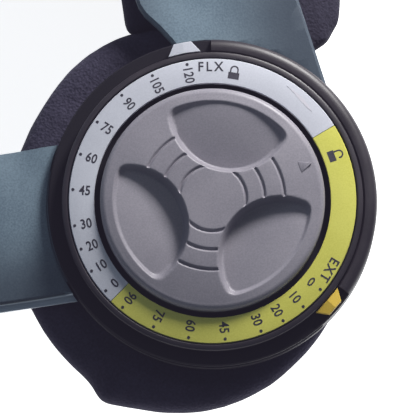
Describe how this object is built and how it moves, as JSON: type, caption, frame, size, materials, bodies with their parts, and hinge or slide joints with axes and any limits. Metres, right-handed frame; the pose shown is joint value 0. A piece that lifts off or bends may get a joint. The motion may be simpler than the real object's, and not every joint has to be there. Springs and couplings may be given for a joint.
{
  "type": "hinged elbow brace",
  "caption": "Hinged elbow brace lying on its inner side: a round range-limiting dial joins two bars with padded cuffs and webbing straps.",
  "frame": {"origin": "under the middle of the whole brace, on the surface it lies on", "axes": "+Z along the hinge axis, out of the dial; +Y roughly along the upper arm and -X roughly along the forearm"},
  "size_m": [0.2792, 0.2776, 0.1173],
  "materials": {
    "navy_fabric": "knitted cover over foam, very dark navy",
    "black_plastic": "moulded, satin",
    "white_plastic": "moulded, satin",
    "lime_plastic": "moulded, satin yellow-green",
    "amber_plastic": "moulded, satin amber yellow",
    "grey_plastic": "moulded, fine satin",
    "bar_plastic": "fine speckled blue-grey",
    "black_webbing": "woven strap",
    "steel": "satin"
  },
  "bodies": {
    "upper_arm": {"elbow_pad": "navy_fabric", "hinge_base": "black_plastic", "hinge_housing": "black_plastic", "flexion_scale": "white_plastic", "extension_scale": "lime_plastic", "upper_bar": "bar_plastic", "upper_cuff": "navy_fabric", "upper_rivet_1": "steel", "upper_rivet_2": "steel", "upper_strap_near": "black_webbing", "upper_strap_far": "black_webbing", "upper_buckle_near": "black_plastic", "upper_buckle_far": "black_plastic"},
    "forearm": {"forearm_bar": "bar_plastic", "forearm_cuff": "navy_fabric", "forearm_rivet_1": "steel", "forearm_rivet_2": "steel", "forearm_strap_near": "black_webbing", "forearm_strap_far": "black_webbing", "forearm_buckle_near": "black_plastic", "forearm_buckle_far": "black_plastic"},
    "lock_knob": {"lock_knob": "grey_plastic"},
    "flexion_pointer": {"flexion_pointer": "white_plastic"},
    "extension_pointer": {"extension_pointer": "amber_plastic"}
  },
  "joints": [
    {"name": "elbow_hinge", "type": "hinge", "parent": "upper_arm", "child": "forearm", "pos_m": [0.09672, -0.06535, 0.106], "axis": [0, 0, 1], "range_deg": [-30, 90]},
    {"name": "lock_turn", "type": "hinge", "parent": "upper_arm", "child": "lock_knob", "pos_m": [0.09672, -0.06535, 0.112], "axis": [0, 0, 1], "range_deg": [0, 60]},
    {"name": "flexion_pointer_slide", "type": "hinge", "parent": "upper_arm", "child": "flexion_pointer", "pos_m": [0.09672, -0.06535, 0.111], "axis": [0, 0, 1], "range_deg": [0, 110]},
    {"name": "extension_pointer_slide", "type": "hinge", "parent": "upper_arm", "child": "extension_pointer", "pos_m": [0.09672, -0.06535, 0.111], "axis": [0, 0, 1], "range_deg": [-90, 0]}
  ]
}
